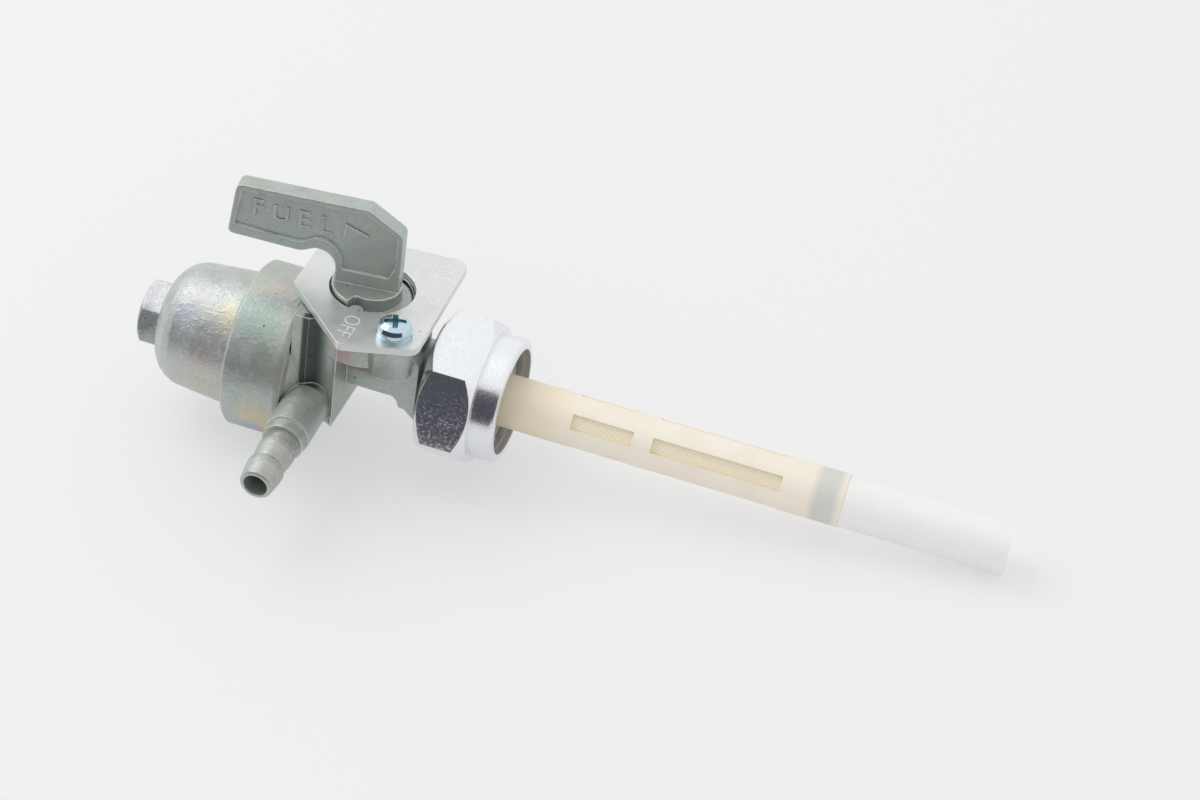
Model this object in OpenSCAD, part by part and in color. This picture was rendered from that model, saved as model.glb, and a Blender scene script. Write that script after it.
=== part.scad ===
// Fuel tap with a screw-on sediment bowl, a turning lever and a strainer
// that stands up into the tank.
// X runs along the stem, towards the tank. Z runs along the lever's axis.
// The origin is the centre of the tank gasket's outer face, where the tank's boss lands.

/* [Union nut] */
// Width of the nut across its flats
nut_af = 27; // [25.5:0.5:30]
// Length of the hexagon along the stem
nut_hex_len = 10.6; // [9:0.2:13]
// Outer radius of the round collar at the mouth
nut_collar_r = 12.35; // [11.8:0.05:12.7]
// Length of the round collar
nut_collar_len = 4.8; // [4:0.2:7]
// Radius of the tank thread's roots inside the nut
nut_thread_r = 10; // [9.8:0.05:10.2]
// Radius of the relief at the nut's mouth
nut_mouth_r = 10.5; // [10.3:0.1:11]
// Depth of the relief at the nut's mouth
nut_mouth_depth = 1.2; // [0.6:0.1:2]
// Angle of the hexagon about the stem
nut_turn = -13.5; // [-30:0.5:30]

/* [Stem] */
// Radius of the neck that the nut turns on
neck_r = 7.4; // [6.8:0.1:7.8]
// Gap between the neck and the nut's lip
neck_gap = 0.3; // [0.2:0.05:0.5]
// Radius of the flange that the nut pulls on
flange_r = 9.3; // [8.8:0.05:9.4]
// Thickness of the flange
flange_t = 2.6; // [2:0.1:3.4]
// Thickness of the tank gasket
gasket_t = 1.8; // [1:0.1:2.4]
// How far the gasket's face lies inside the nut's mouth
gasket_depth = 2.4; // [1.6:0.1:3.2]
// Radius of the barrel that carries fuel below the lever
barrel_r = 5.6; // [5.4:0.1:6.2]
// Distance from the gasket's face back to the end of the neck
neck_back = 18.6; // [17:0.2:20]

/* [Strainer] */
// Outer radius of the strainer's nylon tube
strainer_r = 5.25; // [4.8:0.05:5.6]
// Wall of the nylon tube
strainer_wall = 1.05; // [0.8:0.05:1.2]
// Distance from the gasket's face to the strainer's closed end
strainer_reach = 69; // [66:0.5:78]
// How deep the strainer is pressed into the stem
strainer_seat = 6.5; // [4:0.5:9]
// Width of each strainer window, measured straight across
window_w = 3; // [2.5:0.1:4.2]
// Start of the short windows along the stem
window_a_start = 15.4; // [13:0.2:16]
// Length of the short windows
window_a_len = 12.2; // [8:0.2:15]
// Start of the long windows along the stem
window_b_start = 31.4; // [29.6:0.2:33]
// Length of the long windows
window_b_len = 25.6; // [18:0.2:28]
// Angle of the first window about the stem, up from the spigot's side
window_turn = 34; // [0:1:89]
// Thickness of the woven sleeve behind the windows
mesh_t = 0.3; // [0.2:0.05:0.4]

/* [Standpipe] */
// Outer radius of the standpipe
standpipe_r = 5.05; // [4.6:0.05:5.6]
// Wall of the standpipe
standpipe_wall = 1.25; // [0.9:0.05:1.4]
// Distance from the gasket's face to the standpipe's open end
standpipe_reach = 101; // [88:0.5:130]
// Length of the nipple that the standpipe is pushed on
nipple_len = 7; // [5:0.5:10]
// Outer radius of the inner pipe that the open end feeds
inner_pipe_r = 2.4; // [2:0.1:2.6]
// Wall of the inner pipe
inner_pipe_wall = 0.5; // [0.4:0.05:0.8]
// Length of the ferrule that holds the inner pipe
ferrule_len = 5.6; // [3.5:0.1:8]

/* [Bowl housing] */
// How far the bowl's axis lies below the stem's axis
bowl_drop = 3.9; // [3:0.1:4.6]
// Outer radius of the ring that the bowl screws into
ring_r = 16.7; // [16.2:0.1:18]
// Distance from the gasket's face to the ring's rim
ring_reach = 51.3; // [51:0.1:52]
// Length of the ring along the stem
ring_len = 12.5; // [12:0.1:13]
// Radius of the thread inside the ring
ring_thread_r = 13.2; // [13:0.05:13.4]
// Depth of the threaded hole
ring_thread_depth = 8.6; // [8:0.1:9]
// Radius of the O-ring's seat in the rim
ring_seat_r = 14.7; // [14.6:0.05:15]
// Depth of the O-ring's seat
ring_seat_depth = 2.6; // [2.2:0.1:3]

/* [Sediment bowl] */
// Outer radius of the bowl at the rim
bowl_r = 13.6; // [13.4:0.05:14]
// Outer radius of the bowl where its end curve starts
bowl_end_r = 12.6; // [12:0.1:13.2]
// Length of the bowl outside the ring, without the hexagon
bowl_len = 17.6; // [15:0.2:24]
// Radius of the curve between the bowl's side and its end
bowl_curve = 6.4; // [4:0.2:8]
// Wall of the bowl
bowl_wall = 2; // [1.6:0.1:2.6]
// Width across the flats of the bowl's hexagon
bowl_hex_af = 12.5; // [10:0.5:14]
// Length of the bowl's hexagon
bowl_hex_len = 4.4; // [3:0.2:7]
// Angle of the bowl's hexagon about its axis
bowl_hex_turn = -8; // [-30:1:30]
// Radial gap in the bowl's thread
bowl_thread_gap = 0.3; // [0.2:0.05:0.4]
// Length of the bowl's threaded neck beyond the seat
bowl_neck_len = 5.2; // [4:0.1:5.4]
// Section radius of the bowl's O-ring
o_ring_r = 0.85; // [0.7:0.05:0.95]

/* [Valve] */
// Distance from the gasket's face back to the lever's axis
lever_back = 27.8; // [27.4:0.1:28.4]
// Height of the face under the retainer plate, above the stem's axis
deck_z = 15.6; // [15:0.1:16.5]
// Outer radius of the valve chamber
chamber_r = 12.2; // [11.9:0.1:12.4]
// Radius of the bore that the lever turns in
chamber_bore_r = 10; // [9.9:0.05:10.2]
// Depth of that bore below the deck
chamber_depth = 7; // [6.6:0.1:7.4]
// Thickness of the rubber packing
packing_t = 2.4; // [2:0.1:2.8]
// Thickness of the lever's rotor on the packing
rotor_t = 2.6; // [2:0.1:2.8]
// Radius of the ports under the packing
port_r = 1.3; // [1:0.1:1.5]
// Distance of the ports from the lever's axis
port_ring_r = 4.2; // [3.8:0.1:4.4]

/* [Retainer plate] */
// Thickness of the plate
plate_t = 1.5; // [1.2:0.1:2]
// Radius of the hole that the lever comes through
plate_hole_r = 8.3; // [8.2:0.05:8.6]
// Distance from the lever's axis to the plate's edge on the bowl's side
plate_left = 14.1; // [13.6:0.1:15]
// Distance from the lever's axis to the plate's edge on the nut's side
plate_right = 14.5; // [14.2:0.1:14.7]
// Distance from the lever's axis to the plate's foremost corner
plate_front = 19.6; // [18.6:0.1:20.6]
// Distance from the lever's axis to the plate's far edge
plate_back = 18.4; // [17.6:0.1:19.4]
// Width of the stop tab in that hole
tab_w = 2.7; // [2:0.1:3.2]
// How far the stop tab reaches into the hole
tab_len = 1.6; // [1.2:0.1:1.9]
// Screw position from the lever's axis, along the stem
screw_x = 8.9; // [8.4:0.1:9.2]
// Screw position from the lever's axis, across the stem
screw_y = 12.1; // [11.8:0.1:12.6]
// Radius of the screw bosses
boss_r = 4.15; // [3.9:0.05:4.3]
// Height of the lower end of the screw bosses above the stem's axis
boss_low_z = 8.3; // [7.9:0.1:8.8]

/* [Screws] */
// Thread radius of the plate screws
screw_r = 2; // [1.8:0.05:2.1]
// Length of the screws below the plate
screw_len = 6.2; // [5:0.2:6.2]
// Radius of the screws' pan heads
screw_head_r = 3.35; // [3.1:0.05:3.6]
// Height of the screws' pan heads
screw_head_h = 2.5; // [2:0.1:3]
// Thickness of the spring washers
washer_t = 0.8; // [0.6:0.1:1]

/* [Lever] */
// Angle of the lever about its axis, from the stem
lever_turn = 7.5; // [0:0.5:9]
// Height of the lever's disc above the plate
disc_rise = 1.1; // [0.8:0.1:1.6]
// Radius of the disc where it clears the stop tab
disc_small_r = 5.65; // [5.3:0.05:5.9]
// Radius of the disc's stop sector
disc_big_r = 7.9; // [7.6:0.05:7.95]
// Turning range that the stop sector leaves
lever_travel = 180; // [150:1:180]
// Thickness of the lever's blade
blade_t = 3.5; // [2.6:0.1:3.8]
// Height of the blade's top above the stem's axis
blade_top_z = 35.4; // [33:0.1:38]
// Height of the grip's lower edge above the stem's axis
grip_low_z = 24.3; // [23.6:0.1:26]
// Reach of the grip from the lever's axis
grip_reach = 27.9; // [24.1:0.2:29.1]
// Width of the raised border round the blade's panel
border_w = 1.1; // [0.8:0.1:1.4]
// Depth of the blade's panel
panel_depth = 0.5; // [0.3:0.05:0.7]

/* [Spigot] */
// Distance from the gasket's face back to the spigot's axis
spigot_back = 34.8; // [34.4:0.1:35.2]
// Angle of the spigot below level
spigot_dip = 4; // [0:0.5:6]
// Distance from the stem's plane to the spigot's tip
spigot_reach = 37.5; // [35:0.5:44]
// Radius of the spigot's barbs
barb_r = 3.65; // [3.4:0.05:3.9]
// Radius of the spigot between its barbs
barb_root_r = 3.05; // [2.8:0.05:3.2]
// Length of each barb
barb_len = 5.4; // [4.5:0.1:6]
// Radius of the collar behind the barbs
spigot_collar_r = 4.1; // [3.9:0.05:4.5]
// Radius of the fuel bore
spigot_bore_r = 2.4; // [1.8:0.05:2.5]

/* [Hidden] */
$fn = 96;
slip = 0.02;
over = 0.01;

mouth_x = gasket_depth;
nut_back_x = mouth_x - nut_hex_len - nut_collar_len;
flange_x = -gasket_t;
flange_back_x = flange_x - flange_t;
nut_shoulder_x = flange_back_x - neck_gap;

strainer_bore_r = strainer_r - strainer_wall;
strainer_start = flange_x - strainer_seat;
nipple_r = standpipe_r - standpipe_wall;
end_wall = 1.2;

ring_x = -ring_reach;
ring_back_x = ring_x + ring_len;
ring_floor_x = ring_x + ring_thread_depth;
seat_x = ring_x + ring_seat_depth;
bowl_neck_r = ring_thread_r - bowl_thread_gap;
bowl_shoulder_r = ring_seat_r - 0.3;
bowl_shoulder_x = seat_x - 2 * o_ring_r;
bowl_end_x = ring_x - bowl_len;
o_ring_mid_r = bowl_neck_r + o_ring_r + slip;
screen_r = bowl_neck_r - bowl_wall - 0.4;
screen_t = 1.6;
screen_bore_r = screen_r - 2;

lever_x = -lever_back;
chamber_floor_z = deck_z - chamber_depth;
packing_top_z = chamber_floor_z + packing_t;
rotor_top_z = packing_top_z + rotor_t;
rotor_r = chamber_bore_r - 0.05;
hub_r = plate_hole_r - 0.7;
hub_top_z = deck_z - 0.35;
plate_top_z = deck_z + plate_t;
disc_top_z = plate_top_z + disc_rise;
chamber_low_z = 7;
tab_angle = -92;
tab_half_angle = asin(tab_w / 2 / (plate_hole_r - tab_len));
stop_gap_angle = 3;
neck_left = -7.2;
neck_right = 5.3;
stop_angle = tab_angle - tab_half_angle - stop_gap_angle - lever_turn;

block_half_y = 12.3;
block_low_z = -8.9;
block_top_z = deck_z - 0.5;
block_front_x = -29.7;
groove_half = 3;
groove_depth = 1.1;
groove_r = (groove_half * groove_half + groove_depth * groove_depth) / (2 * groove_depth);
outlet_z = -bowl_drop;
reserve_y = (strainer_bore_r + inner_pipe_r) / 2;
reserve_r = (strainer_bore_r - inner_pipe_r) / 2 - 0.05;
feed_r = 0.8;
feed_z = chamber_floor_z - feed_r - 0.4;

// Points of a fillet of radius r at corner p, between the edges to a and b
function fillet(a, p, b, r) =
    let (u = (a - p) / norm(a - p), v = (b - p) / norm(b - p))
    let (half = acos(u * v) / 2, mid = p + (u + v) / norm(u + v) * r / sin(half))
    let (from = p + u * r / tan(half) - mid, to = p + v * r / tan(half) - mid)
    let (sweep = 180 - 2 * half, steps = max(2, round(sweep / 15)))
    [for (i = [0:steps])
        mid + (from * sin(sweep * (1 - i / steps)) + to * sin(sweep * i / steps)) / sin(sweep)];

// Outline through corners given as [x, y, fillet radius]
function rounded(c) = [
    for (i = [0:len(c) - 1])
        let (a = c[(i + len(c) - 1) % len(c)], p = c[i], b = c[(i + 1) % len(c)])
        each (p[2] == 0 ? [[p[0], p[1]]] : fillet([a[0], a[1]], [p[0], p[1]], [b[0], b[1]], p[2]))
];

// Turns a shape about Z into one about X that starts at x and points to +X
module along_x(x, z = 0) {
    translate([x, 0, z]) rotate([0, 90, 0]) children();
}

// Round bar along X between two places
module bar_x(x1, x2, r, z = 0) {
    along_x(x1, z) cylinder(h = x2 - x1, r = r);
}

// Solid of revolution about an axis along X, from points [x, radius]
module turned_x(points, z = 0) {
    translate([0, 0, z]) rotate([90, 0, 90]) rotate_extrude()
        polygon([for (p = points) [p[1], p[0]]]);
}

// Places a shape drawn along Z on the spigot's axis
module on_spigot() {
    translate([-spigot_back, 0, outlet_z]) rotate([90 + spigot_dip, 0, 0]) children();
}

// Places a shape at both plate screws
module at_screws() {
    for (side = [-1, 1])
        translate([lever_x - side * screw_x, side * screw_y, 0]) children();
}

// Hexagon along X with both ends turned to a cone, as on a drawn nut
module chamfered_hex(x1, x2, af, turn, z, end_r, bevel) {
    corner = af / 2 / cos(30);
    intersection() {
        along_x(x1, z) rotate([0, 0, turn]) cylinder(h = x2 - x1, r = corner, $fn = 6);
        turned_x([[x1, 0], [x1, end_r], [x1 + bevel, corner], [x2 - bevel, corner], [x2, end_r], [x2, 0]], z);
    }
}

// Outer form of the cast body, before its holes
module body_casting() {
    // ring, neck, barrel and flange
    turned_x([
        [ring_x, 0], [ring_x, ring_r - 0.4], [ring_x + 0.4, ring_r],
        [ring_back_x - 1.6, ring_r], [ring_back_x - 0.5, ring_r - 0.5],
        [ring_back_x, ring_r - 1.6], [ring_back_x + 2.2, block_half_y + 0.2],
        [ring_back_x + 2.2, 0]
    ], -bowl_drop);
    bar_x(ring_back_x - over, -neck_back + over, barrel_r);
    bar_x(-neck_back, flange_back_x + over, neck_r);
    bar_x(flange_back_x, flange_x, flange_r);
    // block between the ring and the valve, hollowed along both sides
    difference() {
        translate([ring_back_x - over, -block_half_y, block_low_z])
            cube([block_front_x - ring_back_x, 2 * block_half_y, block_top_z - block_low_z]);
        for (side = [-1, 1])
            translate([
                block_front_x - groove_half, side * (block_half_y - groove_depth + groove_r), block_low_z - 1
            ]) cylinder(h = block_top_z - block_low_z + 2, r = groove_r);
    }
    // valve chamber on its pillar, with its screw bosses
    translate([lever_x, 0, 0]) cylinder(h = chamber_low_z + over, r = barrel_r - 0.3);
    translate([lever_x, 0, chamber_low_z]) cylinder(h = deck_z - chamber_low_z, r = chamber_r);
    at_screws() {
        translate([0, 0, boss_low_z + 0.8]) cylinder(h = deck_z - boss_low_z - 0.8, r = boss_r);
        translate([0, 0, boss_low_z]) cylinder(h = 1, r = boss_r - 0.8);
    }
    for (side = [-1, 1])
        translate([lever_x, 0, boss_low_z]) rotate([0, 0, atan2(side * screw_y, -side * screw_x)])
            translate([0, -boss_r + 0.6, 0])
                cube([norm([screw_x, screw_y]), 2 * boss_r - 1.2, deck_z - boss_low_z - 0.6]);
    // rib from the front boss to the neck
    translate([0, -neck_r + 1.6, 0]) rotate([90, 0, 0]) linear_extrude(height = 3.8)
        polygon([
            [lever_x + screw_x - 2, 2.5], [nut_back_x - 1.2, -3.5],
            [nut_back_x - 1.2, 9], [lever_x + screw_x, deck_z - 1]
        ]);
    // spigot with its collar and two barbs
    on_spigot() {
        cylinder(h = spigot_reach - 2 * barb_len - 4.4, r = spigot_collar_r + 0.35);
        cylinder(h = spigot_reach - 2 * barb_len - 2, r = spigot_collar_r);
        cylinder(h = spigot_reach - 0.3, r = barb_root_r);
        for (i = [0, 1])
            translate([0, 0, spigot_reach - (i + 1) * barb_len])
                rotate_extrude() polygon([
                    [0, 0], [barb_r - 0.25, 0], [barb_r, 0.35], [barb_r, 1.6],
                    [barb_root_r + 0.15, barb_len - 0.35], [barb_root_r - 0.2, barb_len], [0, barb_len]
                ]);
    }
}

module valve_body() {
    color("#a9b3ae") difference() {
        body_casting();
        // seat and thread for the bowl
        turned_x([
            [ring_x - over, 0], [ring_x - over, ring_seat_r], [seat_x, ring_seat_r],
            [seat_x, ring_thread_r], [ring_floor_x, ring_thread_r], [ring_floor_x, 0]
        ], -bowl_drop);
        // chamber bore and screw holes
        translate([lever_x, 0, chamber_floor_z]) cylinder(h = chamber_depth + over, r = chamber_bore_r);
        at_screws() translate([0, 0, deck_z - screw_len - 0.4]) cylinder(h = deck_z, r = screw_r + slip);
        // main supply, from the inner pipe to the port on the tank's side
        bar_x(strainer_start, over, strainer_r - slip);
        bar_x(lever_x + port_ring_r, strainer_start + over, inner_pipe_r + slip);
        translate([lever_x + port_ring_r, 0, 0]) cylinder(h = deck_z, r = port_r);
        // reserve supply, from the foot of the strainer to the port at the back
        translate([0, reserve_y, 0]) bar_x(lever_x, strainer_start + over, reserve_r);
        translate([lever_x, port_ring_r, 0]) cylinder(h = deck_z, r = port_r);
        // feed to the bowl, outside its screen
        translate([lever_x - port_ring_r, 0, feed_z - feed_r]) cylinder(h = deck_z, r = port_r);
        bar_x(ring_floor_x - over, lever_x - port_ring_r, feed_r, feed_z);
        // outlet from the bowl to the spigot
        on_spigot() cylinder(h = spigot_reach + over, r = spigot_bore_r);
        bar_x(ring_floor_x - over, -spigot_back + spigot_bore_r, spigot_bore_r, outlet_z);
    }
}

module sediment_bowl() {
    inner_end_x = bowl_end_x + bowl_wall + 0.4;
    curve = [for (a = [0:15:90])
        [bowl_end_x + bowl_curve * (1 - cos(a)), bowl_end_r - bowl_curve * (1 - sin(a))]];
    inner = bowl_curve - bowl_wall;
    inner_curve = [for (a = [90:-15:0])
        [inner_end_x + inner * (1 - cos(a)), bowl_end_r - bowl_wall - inner * (1 - sin(a))]];
    neck_end_x = seat_x + bowl_neck_len;
    color("#b4bbb8") union() {
        turned_x(concat(
            [[bowl_end_x, 0]], curve,
            [
                [ring_x - 0.8, bowl_r], [ring_x - 0.1, bowl_r + 0.1], [ring_x + 0.1, bowl_shoulder_r],
                [bowl_shoulder_x, bowl_shoulder_r], [bowl_shoulder_x, bowl_neck_r],
                [neck_end_x - 0.6, bowl_neck_r], [neck_end_x, bowl_neck_r - 0.6],
                [neck_end_x, bowl_neck_r - bowl_wall], [ring_x, bowl_neck_r - bowl_wall]
            ],
            inner_curve, [[inner_end_x, 0]]
        ), -bowl_drop);
        chamfered_hex(
            bowl_end_x - bowl_hex_len, bowl_end_x + bowl_wall, bowl_hex_af, bowl_hex_turn,
            -bowl_drop, bowl_hex_af / 2 - 0.15, 0.8
        );
    }
}

module bowl_o_ring() {
    color("#222222") translate([seat_x - o_ring_r, 0, -bowl_drop]) rotate([0, 90, 0])
        rotate_extrude() translate([o_ring_mid_r, 0]) circle(r = o_ring_r - slip, $fn = 32);
}

module bowl_screen_frame() {
    color("#e8e4d4") difference() {
        bar_x(ring_floor_x - screen_t, ring_floor_x, screen_r, -bowl_drop);
        for (i = [0:5])
            translate([0, 0, -bowl_drop]) rotate([60 * i, 0, 0])
                translate([ring_floor_x - screen_t - over, 0, (screen_bore_r + 2.4) / 2])
                    rotate([0, 90, 0]) cylinder(h = screen_t + 2 * over, r = 2);
        along_x(ring_floor_x - screen_t - over, -bowl_drop) cylinder(h = 0.3, r = screen_bore_r + slip);
    }
}

module bowl_screen_mesh() {
    color("#d8c98a") bar_x(ring_floor_x - screen_t, ring_floor_x - screen_t + 0.28, screen_bore_r, -bowl_drop);
}

// Disc of the lever: small all round, big over the stop sector
module lever_disc() {
    big_sweep = 360 - lever_travel - 2 * (tab_half_angle + stop_gap_angle);
    cylinder(h = disc_top_z - hub_top_z, r = disc_small_r);
    rotate([0, 0, stop_angle - big_sweep]) rotate_extrude(angle = big_sweep)
        square([disc_big_r, disc_top_z - hub_top_z]);
}

// Side view of the lever's blade, in the plane of its faces
module blade_outline() {
    top = blade_top_z;
    low = grip_low_z;
    polygon(rounded([
        [-grip_reach - 0.5, low, 1], [-grip_reach / 2, low - 0.9, 4], [-grip_reach * 0.41, low + 0.4, 1.6],
        [neck_left, low + 0.4, 3.6], [neck_left, disc_top_z - over, 0],
        [neck_right, disc_top_z - over, 0], [neck_right, top - 4.4, 1.5],
        [-1.6, top, 1.5], [-grip_reach + 0.8, top, 1.4]
    ]));
}

// The sunk panel inside the blade's raised border
module panel_outline() {
    top = blade_top_z - border_w;
    low = grip_low_z + border_w + 0.7;
    polygon(rounded([
        [-grip_reach + 0.7, low + 0.2, 0.4], [-grip_reach / 2 - 0.1, low - 0.9, 4],
        [-grip_reach * 0.41 - 0.2, low + 0.8, 1.4],
        [neck_left + border_w, low + 0.8, 4.6], [neck_left + border_w, disc_top_z + 2.8, 0.5],
        [neck_right - 2.2, disc_top_z + 2.8, 0.5], [neck_right - border_w, disc_top_z + 5.4, 0.8],
        [neck_right - border_w, top - 3.7, 0.8], [-2, top, 0.8], [-grip_reach + 1.9, top, 0.6]
    ]));
}

module lever() {
    color("#9aa39f") translate([lever_x, 0, 0]) rotate([0, 0, lever_turn]) union() {
        translate([0, 0, packing_top_z]) cylinder(h = rotor_t, r = rotor_r);
        translate([0, 0, rotor_top_z - over]) cylinder(h = hub_top_z - rotor_top_z + over, r = hub_r);
        translate([0, 0, hub_top_z - over]) lever_disc();
        difference() {
            translate([0, blade_t / 2, 0]) rotate([90, 0, 0])
                linear_extrude(height = blade_t) blade_outline();
            translate([0, -blade_t / 2 + panel_depth, 0]) rotate([90, 0, 0])
                linear_extrude(height = blade_t) panel_outline();
        }
    }
}

module valve_packing() {
    color("#2b2b2b") translate([lever_x, 0, chamber_floor_z]) difference() {
        cylinder(h = packing_t, r = chamber_bore_r - 0.1);
        for (i = [0:3])
            rotate([0, 0, 90 * i]) translate([port_ring_r, 0, -over]) cylinder(h = packing_t + 2 * over, r = port_r);
    }
}

// Ring whose faces rise and fall between the rotor and the plate
module wave_washer() {
    steps = 72;
    thick = 0.35;
    low = rotor_top_z + slip;
    swing = deck_z - slip - thick - low;
    inner_r = disc_big_r + 0.25;
    outer_r = chamber_bore_r - 0.25;
    wave = [for (i = [0:steps - 1]) low + swing * (1 - cos(3 * 360 * i / steps)) / 2];
    ring = function (r, lift) [for (i = [0:steps - 1])
        [r * cos(360 * i / steps), r * sin(360 * i / steps), wave[i] + lift]];
    faces = [for (i = [0:steps - 1], k = [0:3])
        let (j = (i + 1) % steps, m = (k + 1) % 4)
        [k * steps + i, k * steps + j, m * steps + j, m * steps + i]];
    color("#c4c8ca") translate([lever_x, 0, 0])
        polyhedron(concat(ring(inner_r, 0), ring(outer_r, 0), ring(outer_r, thick), ring(inner_r, thick)), faces);
}

// Plate outline about the lever's axis, seen from above
function plate_corners() = [
    [-plate_left, -plate_left * 0.37, 1.2], [plate_right * 0.04, -plate_front, 1.6],
    [plate_right, -plate_front * 0.755, 2.6], [plate_right * 0.965, plate_back * 0.89, 2.4],
    [0, plate_back * 0.826, 6], [-plate_left * 0.71, plate_back, 3], [-plate_left, plate_back * 0.9, 2.4]
];

module retainer_plate() {
    color("#c9ccca") translate([lever_x, 0, deck_z]) union() {
        difference() {
            linear_extrude(height = plate_t) polygon(rounded(plate_corners()));
            translate([0, 0, -over]) cylinder(h = plate_t + 2 * over, r = plate_hole_r);
            for (side = [-1, 1])
                translate([-side * screw_x, side * screw_y, -over])
                    cylinder(h = plate_t + 2 * over, r = screw_r + 0.25);
        }
        rotate([0, 0, tab_angle]) {
            translate([plate_hole_r - tab_len + tab_w / 2, 0, 0]) cylinder(h = plate_t, r = tab_w / 2);
            translate([plate_hole_r - tab_len + tab_w / 2, -tab_w / 2, 0]) cube([1.2, tab_w, plate_t]);
        }
    }
}

module plate_screws() {
    head_z = plate_top_z + washer_t;
    color("#b8c6d2") at_screws() difference() {
        union() {
            translate([0, 0, deck_z - screw_len]) cylinder(h = head_z - deck_z + screw_len + over, r = screw_r);
            translate([0, 0, head_z]) rotate_extrude() polygon([
                [0, 0], [screw_head_r, 0], [screw_head_r, 0.9], [screw_head_r - 0.4, 1.7],
                [screw_head_r - 1.3, screw_head_h - 0.15], [screw_head_r - 2, screw_head_h], [0, screw_head_h]
            ]);
        }
        for (turn = [20, 110])
            translate([0, 0, head_z + screw_head_h]) rotate([0, 0, turn]) cube([4.2, 1.05, 3.2], center = true);
    }
}

module screw_washers() {
    color("#c2ccd4") at_screws() translate([0, 0, plate_top_z]) difference() {
        cylinder(h = washer_t, r = screw_head_r + 0.15);
        translate([0, 0, -over]) cylinder(h = washer_t + 2 * over, r = screw_r + 0.1);
        translate([screw_r + 0.7, 0, 0]) rotate([0, 35, 0]) cube([2.4, 0.35, 4], center = true);
    }
}

module union_nut() {
    rim = 0.9;
    hex_front_x = mouth_x - nut_collar_len;
    color("#dfe3e6") difference() {
        union() {
            chamfered_hex(nut_back_x, hex_front_x, nut_af, nut_turn, 0, nut_af / 2 - 0.2, 2.1);
            turned_x([
                [hex_front_x - 0.5, 0], [hex_front_x - 0.5, nut_collar_r],
                [mouth_x - rim, nut_collar_r], [mouth_x - rim * 0.3, nut_collar_r - rim * 0.3],
                [mouth_x, nut_collar_r - rim], [mouth_x, 0]
            ]);
        }
        bar_x(mouth_x - nut_mouth_depth, mouth_x + over, nut_mouth_r);
        bar_x(nut_shoulder_x, mouth_x, nut_thread_r);
        bar_x(nut_back_x - over, mouth_x, neck_r + neck_gap);
    }
}

module tank_gasket() {
    color("#3a3c3d") difference() {
        bar_x(flange_x, flange_x + gasket_t, flange_r);
        bar_x(flange_x - over, flange_x + gasket_t + over, strainer_r + slip);
    }
}

module strainer_frame() {
    tube_end_x = strainer_reach - end_wall;
    color("#efe6cf") difference() {
        union() {
            bar_x(strainer_start, strainer_reach, strainer_r - 2 * slip);
            bar_x(strainer_reach - over, strainer_reach + nipple_len, nipple_r - slip);
        }
        bar_x(strainer_start - over, tube_end_x, strainer_bore_r);
        bar_x(strainer_start, strainer_reach + nipple_len + over, inner_pipe_r + slip);
        for (w = [[window_a_start, window_a_len], [window_b_start, window_b_len]], i = [0:3])
            rotate([90 * i - window_turn, 0, 0])
                translate([w[0], -strainer_r - 1, -window_w / 2]) cube([w[1], strainer_r, window_w]);
    }
}

module strainer_mesh() {
    color("#dccf8e") difference() {
        bar_x(window_a_start - 2, tube_wall_end(), strainer_bore_r - slip);
        bar_x(window_a_start - 2 - over, tube_wall_end() + over, strainer_bore_r - mesh_t);
    }
}

// Where the woven sleeve ends, against the ferrule
function tube_wall_end() = strainer_reach - end_wall - ferrule_len;

module inner_pipe() {
    color("#c8cccf") difference() {
        bar_x(strainer_start - 3, strainer_reach + nipple_len - 1, inner_pipe_r);
        bar_x(strainer_start - 3 - over, strainer_reach + nipple_len, inner_pipe_r - inner_pipe_wall);
    }
}

module pipe_ferrule() {
    color("#8d9a9b") difference() {
        bar_x(tube_wall_end() + slip, tube_wall_end() + ferrule_len - slip, strainer_bore_r - slip);
        bar_x(tube_wall_end(), tube_wall_end() + ferrule_len, inner_pipe_r + slip);
    }
}

module standpipe() {
    color("#f3f2ee") difference() {
        bar_x(strainer_reach + slip, standpipe_reach, standpipe_r);
        bar_x(strainer_reach, standpipe_reach + over, nipple_r);
    }
}

valve_body();
sediment_bowl();
bowl_o_ring();
bowl_screen_frame();
bowl_screen_mesh();
lever();
valve_packing();
wave_washer();
retainer_plate();
plate_screws();
screw_washers();
union_nut();
tank_gasket();
strainer_frame();
strainer_mesh();
inner_pipe();
pipe_ferrule();
standpipe();
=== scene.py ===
"""Dresses the fuel tap: finishes, lettering, threads, woven mesh, light and camera.

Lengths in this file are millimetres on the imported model's axes: X runs up the stem to the
tank, Z runs up the lever's axis, and the hose spigot points to -Y. Meshes are in metres.
"""
import logging
import math
from dataclasses import dataclass, field
from enum import Enum
from typing import Any, Optional, Sequence, Union

import bpy
from mathutils import Matrix, Vector


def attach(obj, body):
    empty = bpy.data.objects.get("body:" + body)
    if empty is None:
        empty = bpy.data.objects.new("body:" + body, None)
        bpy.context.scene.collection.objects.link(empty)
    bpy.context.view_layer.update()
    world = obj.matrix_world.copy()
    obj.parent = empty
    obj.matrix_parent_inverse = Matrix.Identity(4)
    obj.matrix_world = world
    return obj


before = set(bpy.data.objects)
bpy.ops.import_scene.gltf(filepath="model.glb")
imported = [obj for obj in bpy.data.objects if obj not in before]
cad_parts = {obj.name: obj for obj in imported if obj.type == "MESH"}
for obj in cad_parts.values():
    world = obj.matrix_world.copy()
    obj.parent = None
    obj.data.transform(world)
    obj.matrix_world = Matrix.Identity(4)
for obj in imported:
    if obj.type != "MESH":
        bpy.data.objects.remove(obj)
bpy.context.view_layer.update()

MM = 0.001
log = logging.getLogger("fuel_tap")

Colour = tuple[float, float, float]
Triple = tuple[float, float, float]


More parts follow.
